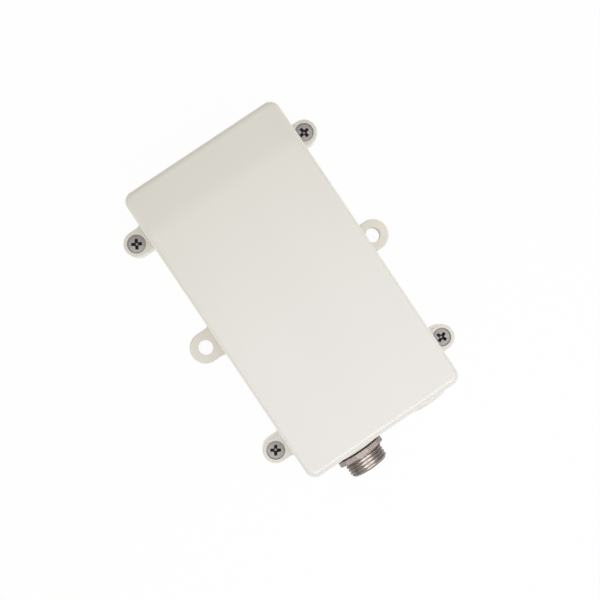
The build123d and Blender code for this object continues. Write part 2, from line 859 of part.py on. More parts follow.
# Electrolytic capacitors: square foot, rolled neck, aluminium can
with BuildPart() as filter_capacitors:
    for can_place in capacitor_places:
        can_seat = board_plane(can_place)
        with BuildSketch(can_seat):
            Rectangle(capacitor_base_side, capacitor_base_side)
        extrude(amount=capacitor_base_height)
        with BuildSketch(can_seat.offset(capacitor_base_height)):
            Circle(capacitor_neck_diameter / 2)
        extrude(amount=capacitor_neck_height)
        with BuildSketch(can_seat.offset(capacitor_base_height + capacitor_neck_height)):
            Circle(capacitor_diameter / 2)
        extrude(amount=capacitor_height - capacitor_base_height - capacitor_neck_height)
    fillet(filter_capacitors.faces().group_by(Axis.Z)[-1].edges(), capacitor_edge_radius)
filter_capacitors.part.label = "filter_capacitors"
export_step(filter_capacitors.part, "parts/filter_capacitors.step")

# Crystal in its can
with BuildPart() as clock_crystal:
    with BuildSketch(board_plane(crystal_place)):
        SlotOverall(crystal_length, crystal_width)
    extrude(amount=crystal_flange_height)
    with BuildSketch(board_plane(crystal_place).offset(crystal_flange_height)):
        SlotOverall(crystal_length - 2 * crystal_flange, crystal_width - 2 * crystal_flange)
    extrude(amount=crystal_height - crystal_flange_height)
    fillet(clock_crystal.faces().sort_by(Axis.Z)[-1].edges(), crystal_flange)
clock_crystal.part.label = "clock_crystal"
export_step(clock_crystal.part, "parts/clock_crystal.step")

# Wire header, with an entry for each lead on the side that faces the socket
header_face = header_y - header_depth / 2
entry_z = board_top + header_entry_height
with BuildPart() as lead_header:
    with BuildSketch(Plane((socket_x, header_y, board_top))):
        Rectangle(header_length, header_depth)
    extrude(amount=header_height)
    with BuildSketch(Plane((socket_x, header_y, board_top + header_height))):
        Rectangle(header_length - 2 * header_wall, header_depth - 2 * header_wall)
    extrude(amount=-(header_height - header_entry_height - header_floor), mode=Mode.SUBTRACT)
    with BuildSketch(end_plane(socket_x, header_face, entry_z)):
        with GridLocations(header_pitch, 0, contact_count, 1):
            Circle(header_entry_diameter / 2)
    extrude(amount=-lead_straight, mode=Mode.SUBTRACT)
lead_header.part.label = "lead_header"
export_step(lead_header.part, "parts/lead_header.step")

# Leads from the solder cups to the header, in the order of the cups from left to right
cup_floor = cup_end - cup_bore_depth
contact_radius = contact_circle_diameter / 2
cup_angles = [math.radians(180 - 360 / contact_count * index) for index in range(contact_count)]
cup_angles.sort(key=lambda turn: (round(math.cos(turn), 3), -math.sin(turn)))
with BuildPart() as signal_leads:
    for index, angle in enumerate(cup_angles):
        start_x = socket_x + contact_radius * math.cos(angle)
        start_z = socket_height + contact_radius * math.sin(angle)
        entry_x = socket_x + header_pitch * (index - (contact_count - 1) / 2)
        with BuildLine() as lead_path:
            FilletPolyline(
                (start_x, cup_floor, start_z),
                (start_x, cup_end + lead_straight, start_z),
                (entry_x, header_face - lead_straight, entry_z),
                (entry_x, header_face + lead_straight, entry_z),
                radius=lead_bend_radius,
            )
        with BuildSketch(end_plane(start_x, cup_floor, start_z)):
            Circle(lead_diameter / 2)
        sweep(path=lead_path.line)
signal_leads.part.label = "signal_leads"
export_step(signal_leads.part, "parts/signal_leads.step")

# Leads from the capsule's terminals down to the board
with BuildPart() as microphone_leads:
    for side in (-1, 1):
        start_x = port_x + side * terminal_pitch / 2
        start_y = capsule_back + terminal_height
        landing_y = board_front + microphone_lead_landing
        with BuildLine() as lead_path:
            FilletPolyline(
                (start_x, start_y, port_height),
                (start_x, landing_y, port_height),
                (start_x, landing_y, board_top),
                radius=microphone_lead_drop,
            )
        with BuildSketch(end_plane(start_x, start_y, port_height)):
            Circle(microphone_lead_diameter / 2)
        sweep(path=lead_path.line)
microphone_leads.part.label = "microphone_leads"
export_step(microphone_leads.part, "parts/microphone_leads.step")
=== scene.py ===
"""The looks of the noise sensor: its finishes, its fine pieces, the studio and the camera.

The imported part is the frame. It is loaded first, and its nodes stay where they are. Sizes in
the classes are millimetres in the part's own frame: the origin is the centre of the mounting
face, +Z points out of the wall and +Y away from the end with the socket. Meshes are written
in metres.
"""

from __future__ import annotations

import logging
import math
from dataclasses import dataclass, field
from enum import Enum
from typing import Any, Callable, Iterable, Sequence

import bmesh
import bpy
from mathutils import Matrix, Vector


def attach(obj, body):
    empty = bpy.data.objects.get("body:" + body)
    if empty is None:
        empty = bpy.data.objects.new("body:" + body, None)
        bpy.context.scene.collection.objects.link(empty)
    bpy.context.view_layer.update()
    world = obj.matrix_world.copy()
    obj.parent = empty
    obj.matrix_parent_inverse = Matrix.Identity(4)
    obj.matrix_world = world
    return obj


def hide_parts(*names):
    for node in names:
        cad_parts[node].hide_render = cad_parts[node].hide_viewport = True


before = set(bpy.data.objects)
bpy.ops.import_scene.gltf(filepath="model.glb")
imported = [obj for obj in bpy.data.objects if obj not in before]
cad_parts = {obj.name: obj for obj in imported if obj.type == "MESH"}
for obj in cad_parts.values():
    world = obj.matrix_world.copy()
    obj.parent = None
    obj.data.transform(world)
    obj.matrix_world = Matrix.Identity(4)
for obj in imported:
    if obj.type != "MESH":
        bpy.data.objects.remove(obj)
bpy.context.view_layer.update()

log = logging.getLogger("noise_sensor")

MM = 0.001
BODY = "root"
QUARTER = math.pi / 2
FULL = 2 * math.pi
TINY = 1e-6

Pair = tuple[float, float]
Triple = tuple[float, float, float]
Colour = Triple
Ring = list[Vector]
Reach = Callable[[float], float]
Row = tuple[float, Reach | float, Sequence[float]]
WHITE: Colour = (1.0, 1.0, 1.0)


class Hand(Enum):
    """Which way a thread winds."""

    RIGHT = 1.0
    LEFT = -1.0


@dataclass(frozen=True, eq=False)
class Value:
    """A number worked out in a node tree, on which Python's operators add Math nodes."""

    graph: Graph
    socket: bpy.types.NodeSocket

    def _math(self, operation: str, *operands: Value | float, clamp: bool = False) -> Value:
        """Adds a Math node.

        Args:
            operation: Blender's name of the operation.
            *operands: The node's inputs, in order.
            clamp: Whether the result is kept between 0 and 1.

        Returns:
            The node's result.
        """
        inputs = dict(enumerate(operands))
        node = self.graph.add("ShaderNodeMath", inputs, operation=operation, use_clamp=clamp)
        return Value(self.graph, node.outputs[0])

    def __add__(self, other: Value | float) -> Value:
        """self + other."""
        return self._math("ADD", self, other)

    def __radd__(self, other: float) -> Value:
        """other + self."""
        return self._math("ADD", other, self)

    def __sub__(self, other: Value | float) -> Value:
        """self - other."""
        return self._math("SUBTRACT", self, other)

    def __rsub__(self, other: float) -> Value:
        """other - self."""
        return self._math("SUBTRACT", other, self)

    def __mul__(self, other: Value | float) -> Value:
        """self * other."""
        return self._math("MULTIPLY", self, other)

    def __rmul__(self, other: float) -> Value:
        """other * self."""
        return self._math("MULTIPLY", other, self)

    def __truediv__(self, other: Value | float) -> Value:
        """self / other."""
        return self._math("DIVIDE", self, other)

    def __abs__(self) -> Value:
        """The size of self without its sign."""
        return self._math("ABSOLUTE", self)

    def __gt__(self, other: Value | float) -> Value:
        """1 where self is the greater, else 0."""
        return self._math("GREATER_THAN", self, other)

    def __lt__(self, other: Value | float) -> Value:
        """1 where self is the lesser, else 0."""
        return self._math("LESS_THAN", self, other)

    def clamped(self) -> Value:
        """self kept between 0 and 1."""
        return self._math("ADD", self, 0.0, clamp=True)

    def fraction(self) -> Value:
        """What is left of self above the whole number below it."""
        return self._math("FRACT", self)

    def root(self) -> Value:
        """The square root of self."""
        return self._math("SQRT", self)

    def sine(self) -> Value:
        """The sine of self in radians."""
        return self._math("SINE", self)

    def cosine(self) -> Value:
        """The cosine of self in radians."""
        return self._math("COSINE", self)

    def least(self, other: Value | float) -> Value:
        """The lesser of self and other."""
        return self._math("MINIMUM", self, other)

    def greatest(self, other: Value | float) -> Value:
        """The greater of self and other."""
        return self._math("MAXIMUM", self, other)

    def step(self, low: float, high: float) -> Value:
        """0 where self is at or below low, 1 at or above high, and straight between."""
        return ((self - low) / (high - low)).clamped()

    def swing(self, size: float) -> Value:
        """Noise about 0.5 made a swing about 0, this much from its least to its most."""
        return (self - 0.5) * size


@dataclass(frozen=True)
class Noise:
    """Soft noise between 0 and 1 over the part's own coordinates, in features per metre."""

    scale: float
    detail: float = 2.0
    stretch: Triple = (1.0, 1.0, 1.0)


@dataclass(frozen=True)
class Graph:
    """Adds nodes and links to one tree, a material's or a Geometry Nodes group's."""

    tree: bpy.types.NodeTree

    def __post_init__(self) -> None:
        """Starts from an empty tree."""
        self.tree.nodes.clear()

    def add(
        self, kind: str, inputs: dict[str | int, Any] | None = None, **settings: Any
    ) -> bpy.types.Node:
        """Adds one node.

        Args:
            kind: The node's type name.
            inputs: What feeds each of its sockets, given by name, identifier or index.
            **settings: Its properties, which are set first.

        Returns:
            The new node.
        """
        node = self.tree.nodes.new(kind)
        for name, value in settings.items():
            setattr(node, name, value)
        for key, value in (inputs or {}).items():
            self.feed(self.socket(node.inputs, key), value)
        return node

    @staticmethod
    def socket(sockets: Iterable[bpy.types.NodeSocket], key: str | int) -> bpy.types.NodeSocket:
        """The socket in use that has this index, name or identifier."""
        if isinstance(key, int):
            return list(sockets)[key]
        return next(s for s in sockets if s.enabled and key in (s.name, s.identifier))

    def feed(self, socket: bpy.types.NodeSocket, value: Any) -> None:
        """Links or sets one input socket.

        Args:
            socket: The input.
            value: A Value, an output socket, a node, for its first output, or a constant.
        """
        if isinstance(value, Value):
            value = value.socket
        elif isinstance(value, bpy.types.Node):
            value = value.outputs[0]
        if isinstance(value, bpy.types.NodeSocket):
            self.tree.links.new(value, socket)
        elif socket.type == "RGBA" and len(value) == 3:
            socket.default_value = (*value, 1.0)
        else:
            socket.default_value = value

    def value(self, node: bpy.types.Node, key: str | int = 0) -> Value:
        """An output of a node as a Value."""
        return Value(self, self.socket(node.outputs, key))

    def place(self, kind: str = "Object") -> bpy.types.NodeSocket:
        """Coordinates of the point that is shaded: by default the part's own, in metres."""
        return self.add("ShaderNodeTexCoord").outputs[kind]

    def split(self, vector: Any) -> list[Value]:
        """The x, y and z of a vector."""
        parts = self.add("ShaderNodeSeparateXYZ", {0: vector})
        return [self.value(parts, axis) for axis in range(3)]

    def noise(self, noise: Noise) -> Value:
        """Adds a noise.

        Args:
            noise: Its scale, detail and stretch.

        Returns:
            The noise, 0.5 on average.
        """
        mapping = self.add("ShaderNodeMapping", {"Vector": self.place(), "Scale": noise.stretch})
        inputs = {"Vector": mapping, "Scale": noise.scale, "Detail": noise.detail, "Roughness": 0.5}
        return self.value(self.add("ShaderNodeTexNoise", inputs))

    def blend(self, factor: Value | float, low: Any, high: Any) -> bpy.types.NodeSocket:
        """Mixes two colours: low where the factor is 0, high where it is 1."""
        inputs = {"Factor_Float": factor, "A_Color": low, "B_Color": high}
        return self.socket(self.add("ShaderNodeMix", inputs, data_type="RGBA").outputs, "Result_Color")

    def either(self, factor: Value, low: bpy.types.Node, high: bpy.types.Node) -> bpy.types.Node:
        """Mixes two shaders: low where the factor is 0, high where it is 1."""
        return self.add("ShaderNodeMixShader", {0: factor, 1: low, 2: high})

    def rays(self, kind: str, *others: str) -> Value:
        """1 for a ray of one of these kinds, such as Camera or Glossy, else 0."""
        found = self.value(self.add("ShaderNodeLightPath"), f"Is {kind} Ray")
        return found.greatest(self.rays(*others)) if others else found

    def bump(
        self, height: Value, distance: float, under: bpy.types.NodeSocket | None = None
    ) -> bpy.types.NodeSocket:
        """Relief on the surface.

        Args:
            height: The relief, from 0 to 1.
            distance: How high 1 is, in millimetres.
            under: A relief that this one lies on.

        Returns:
            The bumped normal.
        """
        inputs: dict[str | int, Any] = {"Distance": distance * MM, "Height": height, "Strength": 1.0}
        if under is not None:
            inputs["Normal"] = under
        return self.add("ShaderNodeBump", inputs).outputs[0]


def shade_of(colour: Colour, factor: float) -> Colour:
    """A colour made darker or lighter by a factor."""
    red, green, blue = (min(part * factor, 1.0) for part in colour)
    return red, green, blue


@dataclass(frozen=True)
class Finish:
    """What every finish has: a name, a colour and a roughness."""

    name: str
    colour: Colour
    roughness: float

    def material(self) -> bpy.types.Material:
        """The finish as a material, built the first time it is asked for."""
        known = bpy.data.materials.get(self.name)
        if known is not None:
            return known
        material = bpy.data.materials.new(self.name)
        material.use_nodes = True
        material.diffuse_color = (*self.colour, 1.0)
        graph = Graph(material.node_tree)
        graph.add("ShaderNodeOutputMaterial", {"Surface": self.shader(graph)})
        return material

    def shader(self, graph: Graph) -> bpy.types.Node:
        """The material's surface shader."""
        raise NotImplementedError


@dataclass(frozen=True)
class CloudedFinish(Finish):
    """A finish whose roughness swings with a noise, under a fine relief.

    The swing is an amount plus a share of the roughness, and the depth of the relief is in
    millimetres. Unless a kind of finish says otherwise, its colour goes from one shade to
    another between two levels of the same noise.
    """

    CLOUD = Noise(500.0, 3.0)
    SWING = 0.0
    SWING_SHARE = 0.0
    SHADES = (1.0, 1.0)
    LEVELS = (0.0, 1.0)
    RELIEF = Noise(3000.0, 1.0)
    DEPTH = 0.003
    CONSTANTS = {"Metallic": 0.0}

    def shader(self, graph: Graph) -> bpy.types.Node:
        """The look over the relief."""
        cloud = graph.noise(self.CLOUD)
        rough = self.roughness + cloud.swing(self.SWING + self.SWING_SHARE * self.roughness)
        look = {"Normal": self.relief(graph), **self.look(graph, cloud, rough)}
        return graph.add("ShaderNodeBsdfPrincipled", look)

    def relief(self, graph: Graph) -> bpy.types.NodeSocket:
        """The normal of the surface with its relief."""
        return graph.bump(graph.noise(self.RELIEF), self.DEPTH)

    def look(self, graph: Graph, cloud: Value, rough: Value) -> dict[str, Any]:
        """What feeds the surface shader, besides its normal.

        Args:
            graph: The material's graph.
            cloud: The noise.
            rough: The roughness, which swings with the noise.

        Returns:
            A value for each of the shader's inputs that isn't left as it is.
        """
        low, high = (shade_of(self.colour, shade) for shade in self.SHADES)
        colour = graph.blend(cloud.step(*self.LEVELS), low, high)
        return {"Base Color": colour, "Roughness": rough.clamped(), **self.CONSTANTS}


@dataclass(frozen=True)
class MouldedPlastic(CloudedFinish):
    """Moulded plastic: a faint flow in its colour, a slightly wavy skin, a fine grain."""

    waviness: float = 0.05
    grain: float = 0.0012

    CLOUD = Noise(150.0, 4.0)
    SWING_SHARE = 0.3
    FLOW = Noise(26.0, 2.0, (1.0, 0.45, 1.0))
    SHADES = (0.985, 1.012)
    LEVELS = (0.35, 0.65)
    WAVE = Noise(34.0, 1.0, (0.6, 1.3, 1.0))
    RELIEF = Noise(1400.0, 1.0)

    def relief(self, graph: Graph) -> bpy.types.NodeSocket:
        """The grain over the waves."""
        waves = graph.bump(graph.noise(self.WAVE), self.waviness)
        return graph.bump(graph.noise(self.RELIEF), self.grain, waves)

    def look(self, graph: Graph, cloud: Value, rough: Value) -> dict[str, Any]:
        """Here the colour follows the flow, and the cloud is what handling left."""
        return super().look(graph, graph.noise(self.FLOW), rough)


@dataclass(frozen=True)
class PlainMetal(CloudedFinish):
    """Turned, drawn or gilt metal with fine marks and a slightly clouded shine."""

    SWING = 0.16
    SHADES = (0.86, 1.0)
    CONSTANTS = {"Metallic": 1.0}


@dataclass(frozen=True)
class Rubber(CloudedFinish):
    """Matt rubber with a dusty bloom and a dry, fine skin."""

    CLOUD = Noise(380.0, 4.0)
    SWING_SHARE = 0.24
    SHADES = (1.0, 1.7)
    LEVELS = (0.45, 0.75)
    RELIEF = Noise(4200.0)
    DEPTH = 0.01
    CONSTANTS = {"Specular IOR Level": 0.35}


@dataclass(frozen=True)
class MembraneFilm(CloudedFinish):
    """Stretched white microporous film: soft, matt and fibrous."""

    CLOUD = RELIEF = Noise(5200.0, 3.0, (1.0, 1.0, 0.25))
    SHADES = (0.9, 1.0)
    DEPTH = 0.02
    CONSTANTS = {"Specular IOR Level": 0.2, "Sheen Weight": 0.2}


@dataclass(frozen=True)
class PlatedMetal(CloudedFinish):
    """Plated metal that is bright on its ridges, with shade painted darker into its grooves.

    The grooves are found by their distance from an axis along Y.
    """

    axis_x: float = 0.0
    axis_z: float = 0.0
    groove_radius: float = 0.0
    ridge_radius: float = 1.0
    groove_shade: Colour = (0.10, 0.085, 0.07)

    CLOUD = Noise(420.0, 3.0)
    SWING = 0.1
    RELIEF = Noise(900.0, 2.0, (0.25, 5.0, 0.25))
    DEPTH = 0.006
    PATCHINESS = 0.5
    GROOVE_SHADE_ROUGHNESS = 0.28

    def look(self, graph: Graph, cloud: Value, rough: Value) -> dict[str, Any]:
        """Own colour on the ridges, painted shade in the grooves, with a patchy edge between."""
        x, _, z = graph.split(graph.place())
        across, up = x - self.axis_x * MM, z - self.axis_z * MM
        radius = (across * across + up * up).root()
        ridge = radius.step(self.groove_radius * MM, self.ridge_radius * MM)
        # Painted shade: nearer the axis than the ridge radius, the colour darkens towards the groove
        # shade.
        unshaded = (ridge + cloud.swing(self.PATCHINESS)).clamped()
        return {
            "Base Color": graph.blend(unshaded, self.groove_shade, self.colour),
            "Metallic": 1.0,
            "Roughness": (rough + self.GROOVE_SHADE_ROUGHNESS * (1 - unshaded)).clamped(),
        }


@dataclass(frozen=True)
class DrivenSteel(CloudedFinish):
    """Zinc-plated steel of a screw: dull on the crown, painted black shade in its drive's wings.

    The screws stand at the corners of a rectangle, so the distance from the nearest screw's
    axis follows from the distances to the rectangle's middle lines. A painted highlight makes the
    middle of the drive bright, and painted shading turns the crown browner to its rim.
    """

    crown_height: float = 0.0
    drive_floor: float = -1.0
    half_spacing: Pair = (0.0, 0.0)
    centre_y: float = 0.0
    rim_radius: float = 2.6
    # Painted shade: the near-black colour of the drive below its floor height.
    recess_shade: Colour = (0.012, 0.011, 0.011)
    # Painted shading: the browner colour of the crown at its rim.
    rim_shade: Colour = (0.36, 0.328, 0.308)

    CLOUD = Noise(900.0, 3.0)
    SWING = 0.22
    RELIEF = Noise(2600.0, 2.0, (1.0, 0.2, 1.0))
    DEPTH = 0.004
    # Radii of the painted highlight in the middle of the drive.
    GLINT_RADII = (0.27, 0.45)
    RIM_START = 0.72
    BARE = 0.65
    RECESS_SHADE_ROUGHNESS = 0.2

    def look(self, graph: Graph, cloud: Value, rough: Value) -> dict[str, Any]:
        """Steel on the crown and at the painted glint, painted shade deeper in the drive."""
        x, y, z = graph.split(graph.place())
        across = abs(x) - self.half_spacing[0] * MM
        along = abs(y - self.centre_y * MM) - self.half_spacing[1] * MM
        radius = (across * across + along * along).root()
        # Painted highlight: a spot of the crown's steel in the middle of the drive.
        painted_glint = 1 - radius.step(*(part * MM for part in self.GLINT_RADII))
        # Painted shade: below the crown height the drive darkens to the recess shade, except at the
        # painted glint.
        steel_shown = z.step(self.drive_floor * MM, self.crown_height * MM).greatest(painted_glint)
        # Painted shading: the crown's colour turns browner towards the rim.
        outwards = radius.step(self.RIM_START * self.rim_radius * MM, self.rim_radius * MM)
        crown = graph.blend(outwards, self.colour, self.rim_shade)
        return {
            "Base Color": graph.blend(steel_shown, self.recess_shade, crown),
            "Metallic": self.BARE * steel_shown,
            "Roughness": (rough + self.RECESS_SHADE_ROUGHNESS * (1 - steel_shown)).clamped(),
        }


@dataclass(frozen=True)
class MouldedChip(CloudedFinish):
    """Black moulding compound with tinned leads round it."""

    centre: Pair = (0.0, 0.0)
    size: Pair = (1.0, 1.0)
    twin: float = 0.0
    tin: Colour = (0.72, 0.71, 0.69)

    CLOUD = RELIEF = Noise(5200.0, 3.0)
    SWING = 0.15
    DEPTH = 0.012
    MARGIN = 0.01

    def look(self, graph: Graph, cloud: Value, rough: Value) -> dict[str, Any]:
        """Tin outside the body's own rectangle, or outside two of them side by side."""
        x, y, _ = graph.split(graph.place())
        across = abs(x - self.centre[0] * MM)
        if self.twin:
            across = abs(across - self.twin / 2 * MM)
        along = abs(y - self.centre[1] * MM)
        width, length = ((size / 2 + self.MARGIN) * MM for size in self.size)
        lead = (across > width).greatest(along > length)
        return {
            "Base Color": graph.blend(lead, self.colour, self.tin),
            "Metallic": lead,
            "Roughness": rough * (1 - 0.5 * lead),
        }


@dataclass(frozen=True)
class CapacitorCan(CloudedFinish):
    """Aluminium cans with a dark mark across part of the top, on black feet."""

    foot_top: float = 1.0
    can_top: float = 2.0
    mark_edge: float = 0.0
    foot: Colour = (0.02, 0.02, 0.02)

    CLOUD = RELIEF = Noise(1800.0, 2.0, (0.2, 0.2, 3.0))
    SWING = 0.2
    DEPTH = 0.004
    MARK_DEPTH = 0.05
    DARK_ROUGHNESS = 0.25

    def look(self, graph: Graph, cloud: Value, rough: Value) -> dict[str, Any]:
        """Brushed metal, except on the feet and the marks."""
        _, y, z = graph.split(graph.place())
        mark = (z > (self.can_top - self.MARK_DEPTH) * MM) * (y > self.mark_edge * MM)
        dark = (z < self.foot_top * MM).greatest(mark)
        return {
            "Base Color": graph.blend(dark, self.colour, self.foot),
            "Metallic": 1 - dark,
            "Roughness": (rough + self.DARK_ROUGHNESS * dark).clamped(),
        }


@dataclass(frozen=True)
class BoardLaminate(Finish):
    """Solder resist over copper tracks, with the bare glass laminate at the board's edges."""

    bottom: float = 0.0
    top: float = 1.0
    laminate: Colour = (0.36, 0.33, 0.17)
    track: Colour = (0.05, 0.30, 0.13)

    RESIST = 0.05
    CELLS_PER_METRE = 150.0
    CELL_RANDOMNESS = 0.55
    TRACKS_PER_CELL = 5.0
    TRACK_EDGES = (0.28, 0.34)
    TRACK_HEIGHT = 0.03
    EDGE_ROUGHNESS = 0.35

    def shader(self, graph: Graph) -> bpy.types.Node:
        """Tracks as bands round the cells of a pattern, and plain laminate between the faces."""
        place = graph.place()
        _, _, z = graph.split(place)
        cells = graph.add(
            "ShaderNodeTexVoronoi",
            {"Vector": place, "Scale": self.CELLS_PER_METRE, "Randomness": self.CELL_RANDOMNESS},
            distance="MANHATTAN",
        )
        bands = (graph.value(cells, "Distance") * self.TRACKS_PER_CELL).fraction()
        tracks = abs(bands - 0.5).step(*self.TRACK_EDGES)
        edge = (z > (self.bottom + self.RESIST) * MM) * (z < (self.top - self.RESIST) * MM)
        resist = graph.blend(tracks, self.colour, self.track)
        return graph.add("ShaderNodeBsdfPrincipled", {
            "Base Color": graph.blend(edge, resist, self.laminate),
            "Roughness": self.roughness + self.EDGE_ROUGHNESS * edge,
            "Normal": graph.bump(tracks * (1 - edge), self.TRACK_HEIGHT),
        })


@dataclass(frozen=True)
class StudioGround(Finish):
    """White ground: almost plain white to camera and reflections, with the object's shadow."""

    whiteness: float = 0.96

    def shader(self, graph: Graph) -> bpy.types.Node:
        """A mix of a lit white and an even white."""
        lit = graph.add("ShaderNodeBsdfDiffuse", {"Color": self.colour, "Roughness": self.roughness})
        even = graph.add("ShaderNodeEmission", {"Color": WHITE, "Strength": 1.0})
        seen = graph.rays("Camera", "Glossy", "Transmission")
        return graph.either(seen * self.whiteness, lit, even)


@dataclass
class Loft:
    """A skin over rings of equally many points, from the first ring to the last.

    A ring of one point closes the skin there.
    """

    rings: list[Ring]
    looped: bool = False

    def mesh(self, name: str) -> bpy.types.Mesh:
        """Builds the skin, with its faces outwards.

        Args:
            name: The mesh's name.

        Returns:
            The new mesh.
        """
        mesh = bpy.data.meshes.new(name)
        skin = bmesh.new()
        rows = [[skin.verts.new(point) for point in ring] for ring in self.rings]
        following = rows[1:] + (rows[:1] if self.looped else [])
        for low, high in zip(rows, following):
            count = max(len(low), len(high))
            for index in range(count):
                after = (index + 1) % count
                around = ((low, index), (low, after), (high, after), (high, index))
                skin.faces.new(dict.fromkeys(row[at % len(row)] for row, at in around))
        bmesh.ops.recalc_face_normals(skin, faces=skin.faces)
        skin.to_mesh(mesh)
        skin.free()
        return mesh


def place_object(name: str, data: bpy.types.ID) -> bpy.types.Object:
    """Puts a mesh, a lamp or a camera in the scene as an object at the origin."""
    item = bpy.data.objects.new(name, data)
    bpy.context.scene.collection.objects.link(item)
    return item


def dress(item: bpy.types.Object, finish: Finish) -> None:
    """Gives an object one finish all over."""
    if not item.material_slots:
        item.data.materials.append(finish.material())
    for slot in item.material_slots:
        slot.material = finish.material()


def even_angles(count: int) -> list[float]:
    """Angles round a full turn, in radians, starting at 0."""
    return [FULL * index / count for index in range(count)]


def stand_in(piece: bpy.types.Object, node: str, slot: str, crease: float) -> None:
    """Shades a new piece, fixes it to the body and lets it stand for a node.

    Args:
        piece: The new piece, in its place.
        node: The node that it replaces.
        slot: Not used.
        crease: The angle in degrees past which an edge stays sharp.
    """
    mesh = piece.data
    mesh.polygons.foreach_set("use_smooth", [True] * len(mesh.polygons))
    mesh.set_sharp_from_angle(angle=math.radians(crease))
    mesh.update()
    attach(piece, BODY)
    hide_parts(node)
    log.info("%s stands for %s", piece.name, node)


class SolidTree:
    """A Geometry Nodes group, and a way to turn its result into a mesh.

    Its inputs are lengths, which are given in millimetres, plain numbers and counts.
    """

    LENGTHS: tuple[str, ...] = ()
    NUMBERS: tuple[str, ...] = ()
    COUNTS: tuple[str, ...] = ()

    def __init__(self, name: str) -> None:
        """Makes the group with its inputs and its output.

        Args:
            name: The group's name.
        """
        self.name = name
        self.group = bpy.data.node_groups.new(name, "GeometryNodeTree")
        self.graph = Graph(self.group)
        self.identifiers: dict[str, str] = {}
        for kind, names in (
            ("Geometry", ("Geometry",)), ("Float", self.LENGTHS + self.NUMBERS),
            ("Int", self.COUNTS), ("Material", ("Finish",)),
        ):
            for key in names:
                socket = self.group.interface.new_socket(
                    key, in_out="INPUT", socket_type=f"NodeSocket{kind}"
                )
                self.identifiers[key] = socket.identifier
        self.group.interface.new_socket("Geometry", in_out="OUTPUT", socket_type="NodeSocketGeometry")
        self.entry = self.graph.add("NodeGroupInput")

    def inputs(self, *names: str) -> list[Value]:
        """Inputs of the group as Values."""
        return [self.graph.value(self.entry, self.identifiers[name]) for name in names]

    def close(self, geometry: bpy.types.Node) -> None:
        """Ends the group in Realize Instances and Set Material."""
        real = self.graph.add("GeometryNodeRealizeInstances", {"Geometry": geometry})
        dressed = {"Geometry": real, "Material": self.inputs("Finish")[0]}
        self.graph.add("NodeGroupOutput", {0: self.graph.add("GeometryNodeSetMaterial", dressed)})

    def bake(
        self, name: str, start: bpy.types.Mesh, finish: Finish, numbers: Sequence[float]
    ) -> bpy.types.Object:
        """Runs the group on a mesh and keeps the result as a plain mesh.

        Args:
            name: The name of the new piece.
            start: The mesh that the group starts from.
            finish: The finish of the new piece.
            numbers: A number for each length, plain number and count, in that order.

        Returns:
            The new piece, with no modifier left on it.
        """
        item = place_object(name, start)
        modifier = item.modifiers.new(self.name, "NODES")
        modifier.node_group = self.group
        names = self.LENGTHS + self.NUMBERS + self.COUNTS
        for key, number in zip(names, numbers, strict=True):
            modifier[self.identifiers[key]] = number * MM if key in self.LENGTHS else number
        modifier[self.identifiers["Finish"]] = finish.material()
        evaluated = item.evaluated_get(bpy.context.evaluated_depsgraph_get())
        result = bpy.data.meshes.new_from_object(evaluated)
        item.modifiers.remove(modifier)
        item.data = result
        result.name = name
        bpy.data.meshes.remove(start)
        return item


class ScrewPattern(SolidTree):
    """Repeats one screw at the corners of a rectangle, each turned by its own angle."""

    LENGTHS = ("Spacing X", "Spacing Y", "Centre Y", "Seat Height")
    NUMBERS = ("Turn 1", "Turn 2", "Turn 3", "Turn 4")

    def __init__(self) -> None:
        """Builds the group."""
        super().__init__("screw_pattern")
        graph = self.graph
        spacing_x, spacing_y, centre_y, seat = self.inputs(*self.LENGTHS)
        grid = {"Size X": spacing_x, "Size Y": spacing_y, "Vertices X": 2, "Vertices Y": 2}
        corners = graph.add("GeometryNodeMeshGrid", grid)
        offset = graph.add("ShaderNodeCombineXYZ", {1: centre_y, 2: seat})
        seats = graph.add("GeometryNodeSetPosition", {"Geometry": corners, "Offset": offset})
        choice = graph.add("GeometryNodeIndexSwitch", data_type="FLOAT")
        while len(choice.index_switch_items) < len(self.NUMBERS):
            choice.index_switch_items.new()
        corner = graph.add("GeometryNodeInputIndex")
        for socket, value in zip(choice.inputs, (corner, *self.inputs(*self.NUMBERS))):
            graph.feed(socket, value)
        turn = graph.add("ShaderNodeCombineXYZ", {2: choice})
        screw, = self.inputs("Geometry")
        placed = {"Points": seats, "Instance": screw, "Rotation": turn}
        self.close(graph.add("GeometryNodeInstanceOnPoints", placed))


